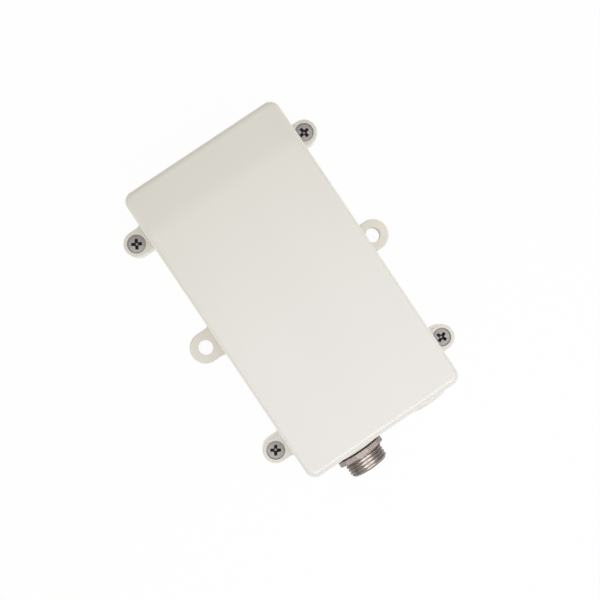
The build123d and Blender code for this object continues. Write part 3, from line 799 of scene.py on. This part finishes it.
class NoseThread(SolidTree):
    """Winds a thread along -Y and joins it to the rest of the shell.

    Its top is cut flat, as far to the sides as LEVEL, the least sine of the angle, reaches.
    """

    LENGTHS = (
        "Axis X", "Axis Z", "Start Y", "Length", "Major Radius", "Depth", "Pitch", "End Bevel",
        "Top Flat",
    )
    NUMBERS = ("Hand",)
    COUNTS = ("Segments", "Rows")
    RUN_IN = 0.4
    LEVEL = 0.2
    FLANK = (0.2, 0.86)
    WELD = 2e-6

    def __init__(self) -> None:
        """Builds the group."""
        super().__init__("nose_thread")
        graph = self.graph
        axis_x, axis_z, start, length, major, depth, pitch, bevel, top = self.inputs(*self.LENGTHS)
        hand, segments, rows = self.inputs(*self.NUMBERS, *self.COUNTS)
        sheet = graph.add(
            "GeometryNodeMeshGrid",
            {"Size X": FULL, "Size Y": length, "Vertices X": segments + 1, "Vertices Y": rows + 1},
        )
        angle, middle, _ = graph.split(graph.add("GeometryNodeInputPosition"))
        along = middle + length * 0.5
        turns = along / pitch - hand * angle / FULL
        flank = abs(turns.fraction() * 2 - 1).step(*self.FLANK)
        run_in = (along / (pitch * self.RUN_IN)).clamped()
        crest = major - depth * (1 - flank) * run_in
        bevelled = crest.least(major - bevel + length - along)
        radius = bevelled.least(top / angle.sine().greatest(self.LEVEL))
        across, up = axis_x + radius * angle.cosine(), axis_z + radius * angle.sine()
        wound = graph.add("ShaderNodeCombineXYZ", {0: across, 1: start - along, 2: up})
        thread = graph.add("GeometryNodeSetPosition", {"Geometry": sheet, "Position": wound})
        joined = graph.add("GeometryNodeJoinGeometry")
        for part in (*self.inputs("Geometry"), thread):
            graph.feed(joined.inputs[0], part)
        welded = {"Geometry": joined, "Distance": self.WELD}
        self.close(graph.add("GeometryNodeMergeByDistance", welded))


@dataclass
class CrossScrew:
    """One pan-head screw with a cross recess, standing on its seat at z = 0."""

    head_diameter: float
    head_height: float
    crown_rise: float
    shank_diameter: float
    shank_length: float
    pitch: float
    wing_width: float
    wing_length: float
    drive_depth: float
    lip: float = 0.06

    CROWN_POWER = 2.6
    COLUMNS = (0.42, 1.6)
    FLOOR_DIP = 0.08
    RECESS_SHARES = ((0.7, 0.8), (0.92, 0.94))
    ROUND_SHARE = 0.76
    RIM_SHARES = (0.86, 0.93, 0.975, 1.0)
    FOOT_BEVEL = 0.1
    ROWS_PER_TURN = 8
    THREAD_DEPTH = 0.54
    ROOT, FLANK = 0.15, 0.7
    POINT_SLOPE = 0.7

    def _cross(self, angle: float, width: float, length: float) -> float:
        """Distance from the centre to the edge of a cross at an angle.

        Args:
            angle: The angle in radians.
            width: The width of a wing.
            length: The length from wing tip to wing tip.

        Returns:
            The distance, in the unit of width and length.
        """
        folded = (angle + QUARTER / 2) % QUARTER - QUARTER / 2
        end = length / 2 / math.cos(folded)
        side = width / 2 / max(abs(math.sin(folded)), TINY)
        return min(end, side)

    def _angles(self) -> list[float]:
        """Angles round the head that hold every corner of the cross."""
        corner = math.atan2(self.wing_width, self.wing_length)
        near, far = self.COLUMNS
        inner = near * (QUARTER / 2 - corner)
        eighth = [0.0, corner / 2, corner, corner + inner, corner + far * inner, QUARTER / 2]
        quarter = eighth + [QUARTER - turn for turn in reversed(eighth[1:-1])]
        return [turn + quadrant * QUARTER for quadrant in range(4) for turn in quarter]

    def _crown(self, radius: float) -> float:
        """Height of the crown above the seat at a distance from the axis."""
        share = radius / (self.head_diameter / 2)
        return self.head_height - self.crown_rise * share**self.CROWN_POWER

    def mesh(self) -> bpy.types.Mesh:
        """The screw as a closed mesh."""
        angles = self._angles()
        head = self.head_diameter / 2
        width, length = self.wing_width, self.wing_length
        mouth = (width + self.lip, length + self.lip)
        floor = self.head_height - self.drive_depth

        def crossed(shape: Pair, level: Reach) -> Ring:
            """One ring along a cross, at a level that follows from the radius."""
            reaches = [self._cross(turn, *shape) for turn in angles]
            return [self._point(turn, reach, level(reach)) for turn, reach in zip(angles, reaches)]

        def eased(share: float) -> Ring:
            """One ring on the crown, between the recess and a circle."""
            edges = [self._cross(turn, *mouth) for turn in angles]
            radii = [edge + (head * self.ROUND_SHARE - edge) * share for edge in edges]
            return [self._point(turn, reach, self._crown(reach)) for turn, reach in zip(angles, radii)]

        low, wall = ((width * wide, length * long) for wide, long in self.RECESS_SHARES)
        rings = [
            [Vector((0, 0, (floor - self.FLOOR_DIP) * MM))],
            crossed(low, lambda radius: floor),
            crossed(wall, lambda radius: floor + 0.5 * self.drive_depth),
            crossed((width, length), lambda radius: self._crown(radius) - self.lip),
            crossed(mouth, self._crown),
            eased(0.5),
            eased(1.0),
        ]
        outline = [(head * share, self._crown(head * share)) for share in self.RIM_SHARES]
        bevel = self.FOOT_BEVEL
        outline += [(head, self._crown(head) * 0.5), (head, bevel), (head - bevel, 0.0)]
        for radius, height in outline:
            rings.append([self._point(turn, radius, height) for turn in angles])
        return Loft(rings + self._shank(angles)).mesh("screw")

    def _shank(self, angles: Sequence[float]) -> list[Ring]:
        """The threaded shank, from the head down to the point.

        Args:
            angles: The angles of the points of a ring.

        Returns:
            Its rings.
        """
        crest = self.shank_diameter / 2
        depth = self.THREAD_DEPTH * self.pitch
        rows = math.ceil(self.shank_length / self.pitch * self.ROWS_PER_TURN)
        rings = []
        for row in range(rows + 1):
            down = self.shank_length * row / rows
            fade = min(1.0, down / self.pitch)
            point = max(0.0, self.pitch - (self.shank_length - down))
            ring = []
            for turn in angles:
                phase = (down / self.pitch + turn / FULL) % 1.0
                flank = min(1.0, max(0.0, (abs(2 * phase - 1) - self.ROOT) / self.FLANK))
                radius = crest - depth * (1 - flank) * fade - self.POINT_SLOPE * point
                ring.append(self._point(turn, radius, -down))
            rings.append(ring)
        rings.append([Vector((0, 0, -self.shank_length * MM))])
        return rings

    @staticmethod
    def _point(turn: float, radius: float, height: float) -> Vector:
        """A point at an angle, a radius and a height in millimetres."""
        return Vector((radius * math.cos(turn), radius * math.sin(turn), height)) * MM


@dataclass
class ScrewSet:
    """Four like screws at the corners of a rectangle, in place of a node.

    The height below which shade is painted into the drive and the height from which the crown shows its
    own steel are given above the seat.
    """

    name: str
    node: str
    screw: CrossScrew
    finish: tuple[str, Colour, float]
    spacing: Pair
    centre_y: float
    seat: float
    drive_floor: float
    crown_height: float
    rim_radius: float
    turns: tuple[float, float, float, float]

    CREASE = 35.0

    def build(self, pattern: ScrewPattern) -> None:
        """Makes the screws.

        Args:
            pattern: The group that repeats a screw.
        """
        steel = DrivenSteel(
            *self.finish, self.seat + self.crown_height, self.seat + self.drive_floor,
            (self.spacing[0] / 2, self.spacing[1] / 2), self.centre_y, self.rim_radius,
        )
        turns = (math.radians(turn) for turn in self.turns)
        numbers = (*self.spacing, self.centre_y, self.seat, *turns)
        piece = pattern.bake(self.name, self.screw.mesh(), steel, numbers)
        stand_in(piece, self.node, "screw_steel", self.CREASE)


@dataclass
class Fasteners:
    """The four housing screws in the ears and the four screws that hold the board."""

    housing: ScrewSet = field(default_factory=lambda: ScrewSet(
        "cross_head_screws", "housing_screws",
        CrossScrew(
            head_diameter=5.4, head_height=1.95, crown_rise=0.35, shank_diameter=3.0,
            shank_length=4.4, pitch=0.5, wing_width=0.95, wing_length=3.15, drive_depth=1.25,
        ),
        ("Zinc plated screw steel", (0.33, 0.312, 0.305), 0.56),
        spacing=(59.2, 72.8), centre_y=0.0, seat=5.1, drive_floor=1.1, crown_height=1.45,
        rim_radius=2.6, turns=(56.0, 62.0, 25.0, 11.0),
    ))
    board: ScrewSet = field(default_factory=lambda: ScrewSet(
        "board_fixing_screws", "board_screws",
        CrossScrew(
            head_diameter=4.2, head_height=1.5, crown_rise=0.6, shank_diameter=2.0,
            shank_length=5.2, pitch=0.4, wing_width=0.7, wing_length=2.4, drive_depth=0.9,
        ),
        ("Bright board screw steel", (0.64, 0.63, 0.61), 0.3),
        spacing=(36.0, 66.5), centre_y=5.25, seat=9.6, drive_floor=0.8, crown_height=1.1,
        rim_radius=2.1, turns=(25.0, 71.0, 5.0, 48.0),
    ))

    def build(self) -> None:
        """Makes both sets of screws with one pattern."""
        pattern = ScrewPattern()
        for screws in (self.housing, self.board):
            screws.build(pattern)


@dataclass
class PanelSocket:
    """The threaded panel socket on the end wall: its shell and its nut."""

    axis_x: float = -9.4
    axis_z: float = 13.2
    pad_face: float = -48.15
    end: float = -54.9
    major_radius: float = 6.0
    pitch: float = 1.0
    depth: float = 0.48
    end_bevel: float = 0.75
    top_flat: float = 5.6
    mouth_radius: float = 4.9
    mouth_floor: float = -49.1
    mouth_lip: float = 0.18
    key_width: float = 1.6
    key_rise: float = 0.35
    step: float = -46.9
    core_radius: float = 4.2
    seat_face: float = -45.0
    flange_back: float = -43.2
    flange_radius: float = 8.0
    flange_flats: float = 14.0
    barrel_radius: float = 5.5
    barrel_end: float = -38.7
    barrel_bevel: float = 0.2
    gasket_thickness: float = 0.7
    nut_thickness: float = 1.55
    nut_width: float = 14.3
    nut_flat_count: int = 12
    nut_bore_radius: float = 6.05
    nut_bore_bevel: float = 0.25
    nut_front_bevel: float = 0.15
    nut_back_bevel: float = 0.12
    segments: int = 168
    rows_per_turn: int = 14
    hand: Hand = Hand.RIGHT

    KEY_COLUMNS = (3, 4)
    SHELL_CREASE = 38.0
    NUT_CREASE = 24.0
    SLOT = "nickel_plate"

    def _turned(self, name: str, rows: Sequence[Row], looped: bool = False) -> bpy.types.Mesh:
        """A skin over rings round the socket's axis.

        Args:
            name: The mesh's name.
            rows: For each ring, where along Y it lies, its radius, or a function of the angle
                that gives it, and the angles of its points, from +X towards +Z.
            looped: Whether the last ring joins the first.

        Returns:
            The new mesh.
        """
        rings = []
        for y, radius, angles in rows:
            ring = []
            for turn in angles:
                reach = radius(turn) if callable(radius) else radius
                x = self.axis_x + reach * math.cos(turn)
                z = self.axis_z + reach * math.sin(turn)
                ring.append(Vector((x * MM, y * MM, z * MM)))
            rings.append(ring)
        return Loft(rings, looped).mesh(name)

    def _grid_angles(self) -> list[float]:
        """The angles of the thread's columns."""
        return [turn - math.pi for turn in even_angles(self.segments)]

    def _keyed(self, growth: float) -> tuple[Reach, list[float]]:
        """Radii and angles of the mouth with its keyway at the top.

        Args:
            growth: How far the outline lies outside the mouth's own wall.

        Returns:
            The radius, and the angles, with a pair on each side wall of the keyway.
        """
        half, wall = self.key_width / 2, self.mouth_radius + growth
        tip = wall + self.key_rise
        sides = [math.asin(half / tip), math.asin(half / wall)]
        angles = []
        for turn in self._grid_angles():
            away, sign = abs(turn - QUARTER), math.copysign(1.0, turn - QUARTER)
            for column, side in zip(self.KEY_COLUMNS, sides):
                if abs(away - column * FULL / self.segments) < TINY:
                    turn = QUARTER + sign * side
            angles.append(turn)

        def radius(turn: float) -> float:
            """The mouth's radius at an angle."""
            return tip if abs(turn - QUARTER) < sides[0] + TINY else wall

        return radius, angles

    def shell(self, tree: NoseThread) -> None:
        """The shell: its turned inside and back in mesh code, its thread from the tree.

        Args:
            tree: The group that winds the thread.
        """
        angles = self._grid_angles()
        lip, mouth = self._keyed(self.mouth_lip), self._keyed(0.0)
        bevel = self.barrel_bevel

        def flange(turn: float) -> float:
            """The flange's radius at an angle, cut by its two flats."""
            return min(self.flange_radius, self.flange_flats / 2 / max(abs(math.sin(turn)), TINY))

        def flattened(turn: float) -> float:
            """The shell's outer radius at an angle, cut by the flat along its top."""
            return min(self.major_radius, self.top_flat / max(math.sin(turn), tree.LEVEL))

        body = self._turned("socket_body", [
            (self.end, self.major_radius - self.end_bevel, angles),
            (self.end, *lip),
            (self.end + self.mouth_lip, *mouth),
            (self.mouth_floor, *mouth),
            (self.mouth_floor, self.mouth_radius, mouth[1]),
            (self.step, self.mouth_radius, angles),
            (self.step, self.core_radius, angles),
            (self.barrel_end, self.core_radius, angles),
            (self.barrel_end, self.barrel_radius - bevel, angles),
            (self.barrel_end - bevel, self.barrel_radius, angles),
            (self.flange_back, self.barrel_radius, angles),
            (self.flange_back, flange, angles),
            (self.seat_face, flange, angles),
            (self.seat_face, flattened, angles),
            (self.pad_face, flattened, angles),
        ])
        # The nickel has painted shade in the thread's roots, the barrel and the mouth.
        nickel = PlatedMetal(
            "Bright nickel plate", (0.375, 0.335, 0.318), 0.36, self.axis_x, self.axis_z,
            groove_radius=self.top_flat - 0.14, ridge_radius=self.top_flat + 0.06,
            groove_shade=(0.22, 0.185, 0.16),
        )
        length = self.pad_face - self.end
        piece = tree.bake("threaded_socket_shell", body, nickel, (
            self.axis_x, self.axis_z, self.pad_face, length, self.major_radius, self.depth,
            self.pitch, self.end_bevel, self.top_flat, self.hand.value, self.segments,
            round(length / self.pitch * self.rows_per_turn),
        ))
        stand_in(piece, "socket_shell", self.SLOT, self.SHELL_CREASE)

    def nut(self) -> None:
        """The thin ring nut with its flats, one of them up, and its edges broken."""
        angles = even_angles(self.segments)
        back = self.pad_face - self.gasket_thickness
        front = back - self.nut_thickness
        flat = math.pi / self.nut_flat_count

        def outline(inset: float) -> Reach:
            """The nut's radius at an angle, this far inside its own outline."""
            def radius(turn: float) -> float:
                """The radius of the nearest flat's line."""
                folded = (turn - QUARTER + flat) % (2 * flat) - flat
                return (self.nut_width / 2 - inset) / math.cos(folded)

            return radius

        bore, eased = self.nut_bore_radius, self.nut_bore_bevel
        ring = self._turned("ring_nut", [
            (back, bore + eased, angles),
            (back - eased, bore, angles),
            (front + eased, bore, angles),
            (front, bore + eased, angles),
            (front, outline(self.nut_front_bevel), angles),
            (front + self.nut_front_bevel, outline(0.0), angles),
            (back - self.nut_back_bevel, outline(0.0), angles),
            (back, outline(self.nut_back_bevel), angles),
        ], looped=True)
        piece = place_object("ring_nut", ring)
        # The nut's nickel has painted shade towards its bore, next to the thread.
        dress(piece, PlatedMetal(
            "Satin nickel plate", (0.43, 0.382, 0.355), 0.72, self.axis_x, self.axis_z,
            groove_radius=self.nut_width / 2 - 1.0, ridge_radius=self.nut_width / 2 - 0.3,
            groove_shade=(0.36, 0.31, 0.28),
        ))
        stand_in(piece, "socket_nut", self.SLOT, self.NUT_CREASE)

    def build(self) -> None:
        """Makes the shell and the nut."""
        self.shell(NoseThread())
        self.nut()


@dataclass
class Housing:
    """The moulded front shell, the back plate, the cap of the sound port and what holds them."""

    shell_white: Colour = (0.745, 0.726, 0.662)
    plate_white: Colour = (0.775, 0.740, 0.665)

    def finishes(self) -> dict[str, Finish]:
        """The finish of each node of the housing."""
        return {
            "front_shell": MouldedPlastic("Glossy shell plastic", self.shell_white, 0.08, 0.06, 0.0006),
            "back_plate": MouldedPlastic("Satin plate plastic", self.plate_white, 0.38, 0.03, 0.004),
            "port_cap": MouldedPlastic("Satin cap plastic", self.shell_white, 0.3, 0.02, 0.003),
            "perimeter_seal": Rubber("Grey sealing cord", (0.09, 0.09, 0.09), 0.75),
            "threaded_inserts": PlainMetal("Turned brass", (0.72, 0.53, 0.26), 0.24),
        }


@dataclass
class Insides:
    """What the housing covers: the socket's core, the microphone and the board."""

    board_centre_y: float = 5.25
    board_bottom: float = 8.0
    board_top: float = 9.6
    capacitor_foot: float = 1.0
    capacitor_height: float = 10.2
    capacitor_mark: float = 24.2
    compound: Colour = (0.022, 0.022, 0.023)
    compound_roughness: float = 0.5

    def _chip(self, name: str, place: Pair, size: Pair, twin: float = 0.0) -> Finish:
        """Moulding compound for a chip at a place given from the board's centre."""
        centre = (place[0], self.board_centre_y + place[1])
        return MouldedChip(name, self.compound, self.compound_roughness, centre, size, twin)

    def finishes(self) -> dict[str, Finish]:
        """The finish of each covered node."""
        top = self.board_top
        return {
            "socket_gasket": Rubber("Black gasket rubber", (0.022, 0.015, 0.011), 0.7),
            "socket_insulator": MouldedPlastic("Black insulator", (0.02, 0.02, 0.02), 0.45, 0.01, 0.004),
            "contact_pins": PlainMetal("Gilt contacts", (0.83, 0.66, 0.33), 0.2),
            "acoustic_membrane": MembraneFilm("Porous film", (0.85, 0.85, 0.83), 0.8),
            "microphone_boot": Rubber("Soft boot rubber", (0.03, 0.03, 0.03), 0.8),
            "microphone_capsule": PlainMetal("Drawn aluminium", (0.78, 0.78, 0.79), 0.26),
            "circuit_board": BoardLaminate(
                "Green board", (0.015, 0.15, 0.06), 0.32, bottom=self.board_bottom, top=top
            ),
            "microcontroller": self._chip("Controller compound", (9.0, -2.0), (7.0, 7.0)),
            "line_transceiver": self._chip("Transceiver compound", (-11.0, -13.0), (3.9, 4.9)),
            "preamplifier": self._chip("Preamplifier compound", (14.0, -22.0), (3.9, 4.9)),
            "voltage_regulator": self._chip("Regulator compound", (-15.0, -2.0), (3.5, 6.5)),
            "surge_diodes": self._chip("Diode compound", (-11.5, -19.5), (3.6, 4.4), twin=6.0),
            "power_inductor": Rubber("Grey ferrite", (0.07, 0.07, 0.075), 0.6),
            "filter_capacitors": CapacitorCan(
                "Capacitor cans", (0.76, 0.76, 0.77), 0.28, foot_top=top + self.capacitor_foot,
                can_top=top + self.capacitor_height,
                mark_edge=self.board_centre_y + self.capacitor_mark,
            ),
            "clock_crystal": PlainMetal("Tinned crystal can", (0.70, 0.70, 0.69), 0.25),
            "lead_header": MouldedPlastic("Natural nylon", (0.72, 0.69, 0.60), 0.4, 0.01, 0.003),
            "signal_leads": Rubber("Grey lead insulation", (0.10, 0.10, 0.12), 0.5),
            "microphone_leads": Rubber("Black lead insulation", (0.03, 0.03, 0.03), 0.5),
        }


@dataclass(frozen=True)
class Softbox:
    """A soft rectangular lamp, given by how bright its face looks.

    It lights matt surfaces, shows in glossy ones, or does both. The camera never sees it.
    """

    name: str
    centre: Triple
    aim: Triple
    size: Pair
    brightness: float
    tint: Colour = WHITE
    lights: bool = True
    mirrored: bool = True

    def build(self) -> None:
        """Adds the lamp to the scene."""
        width, height = self.size
        lamp = bpy.data.lights.new(self.name, "AREA")
        lamp.shape = "RECTANGLE"
        lamp.size, lamp.size_y = width * MM, height * MM
        lamp.energy = self.brightness * math.pi * width * height * MM * MM
        lamp.color = self.tint
        item = place_object(self.name, lamp)
        away = Vector(self.centre) - Vector(self.aim)
        item.matrix_world = Matrix.Translation(Vector(self.centre) * MM) @ (
            away.to_track_quat("Z", "Y").to_matrix().to_4x4()
        )
        item.visible_camera = False
        item.visible_diffuse = self.lights
        item.visible_glossy = self.mirrored


@dataclass
class Studio:
    """The white ground, the even light all round and the soft lamps.

    In reflections the surroundings are white overhead and dim towards the horizon.
    """

    ground_size: float = 6000.0
    ground_drop: float = 0.4
    ground_white: Colour = (0.92, 0.92, 0.92)
    fill: float = 0.72
    fill_tint: Colour = (1.0, 0.98, 0.896)
    zenith: float = 1.0
    horizon: float = 0.25
    horizon_tint: Colour = (1.0, 0.98, 0.96)
    dome_edges: Pair = (0.12, 0.5)
    lamps: tuple[Softbox, ...] = (
        Softbox(
            "close_lamp", (0.0, -60.0, 137.0), (0.0, -60.0, 0.0), (120.0, 120.0), 1.32,
            (0.68, 0.675, 1.0), mirrored=False,
        ),
        Softbox(
            "left_lamp", (-450.0, -120.0, 120.0), (0.0, -40.0, 15.0), (500.0, 200.0), 1.5,
            (0.95, 0.98, 1.0), mirrored=False,
        ),
        Softbox(
            "right_lamp", (450.0, -120.0, 120.0), (0.0, -40.0, 15.0), (500.0, 200.0), 1.75,
            (0.93, 0.97, 1.0), mirrored=False,
        ),
        Softbox(
            "near_end_lamp", (0.0, -450.0, 120.0), (0.0, 0.0, 15.0), (300.0, 200.0), 1.1,
            mirrored=False,
        ),
        Softbox(
            "overhead_panel", (20.0, -42.0, 300.0), (20.0, -42.0, 0.0), (1300.0, 209.0), 1.15,
            lights=False,
        ),
        Softbox(
            "near_end_panel", (0.0, -190.0, 290.0), (0.0, -47.0, 27.0), (300.0, 125.0), 3.0,
            lights=False,
        ),
    )

    def build(self) -> None:
        """Adds ground, world and lamps to the scene."""
        self._ground()
        self._world()
        for lamp in self.lamps:
            lamp.build()

    def _ground(self) -> None:
        """The floor that the sensor lies on."""
        half = self.ground_size / 2 * MM
        corners = [(-half, -half), (half, -half), (half, half), (-half, half)]
        mesh = bpy.data.meshes.new("ground")
        mesh.from_pydata([(x, y, -self.ground_drop * MM) for x, y in corners], [], [(0, 1, 2, 3)])
        ground = place_object("ground", mesh)
        dress(ground, StudioGround("White ground", self.ground_white, 0.0))

    def _world(self) -> None:
        """Even light from all round, plain white to the camera."""
        world = bpy.data.worlds.new("studio")
        bpy.context.scene.world = world
        world.use_nodes = True
        graph = Graph(world.node_tree)
        low, overhead, lit, white = (
            graph.add("ShaderNodeBackground", {"Color": colour, "Strength": strength})
            for colour, strength in (
                (self.horizon_tint, self.horizon), (WHITE, self.zenith),
                (self.fill_tint, self.fill), (WHITE, 1.0),
            )
        )
        _, _, height = graph.split(graph.place("Generated"))
        dome = graph.either(abs(height).step(*self.dome_edges), low, overhead)
        light = graph.either(graph.rays("Glossy"), lit, dome)
        surface = graph.either(graph.rays("Camera", "Transmission"), light, white)
        graph.add("ShaderNodeOutputWorld", {"Surface": surface})


@dataclass
class PhotoCamera:
    """The camera, almost straight above the front and turned in its own plane."""

    position: Triple = (-16.13, 0.20, 350.0)
    aim: Triple = (0.604, -3.802, 13.5)
    heading: float = 34.009
    lens: float = 70.08
    sensor: float = 36.0
    clip: Pair = (0.01, 20.0)

    def build(self) -> None:
        """Adds the camera and makes it the scene's own."""
        back = (Vector(self.position) - Vector(self.aim)).normalized()
        turn = math.radians(self.heading)
        right = Vector((math.sin(turn), math.cos(turn), 0.0)).cross(back).normalized()
        up = back.cross(right)
        data = bpy.data.cameras.new("camera")
        data.lens, data.sensor_width = self.lens, self.sensor
        data.clip_start, data.clip_end = self.clip
        camera = place_object("camera", data)
        axes = Matrix((right, up, back)).transposed().to_4x4()
        camera.matrix_world = Matrix.Translation(Vector(self.position) * MM) @ axes
        bpy.context.scene.camera = camera


def main() -> None:
    """Builds the camera, the studio and the dressed part."""
    logging.basicConfig(level=logging.INFO, format="%(message)s")
    bpy.context.scene.view_settings.view_transform = "Standard"
    PhotoCamera().build()
    Studio().build()
    for node, finish in (Housing().finishes() | Insides().finishes()).items():
        dress(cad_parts[node], finish)
        log.info("%s keeps its solid, in %s", node, finish.name)
    Fasteners().build()
    PanelSocket().build()


if __name__ == "__main__":
    main()
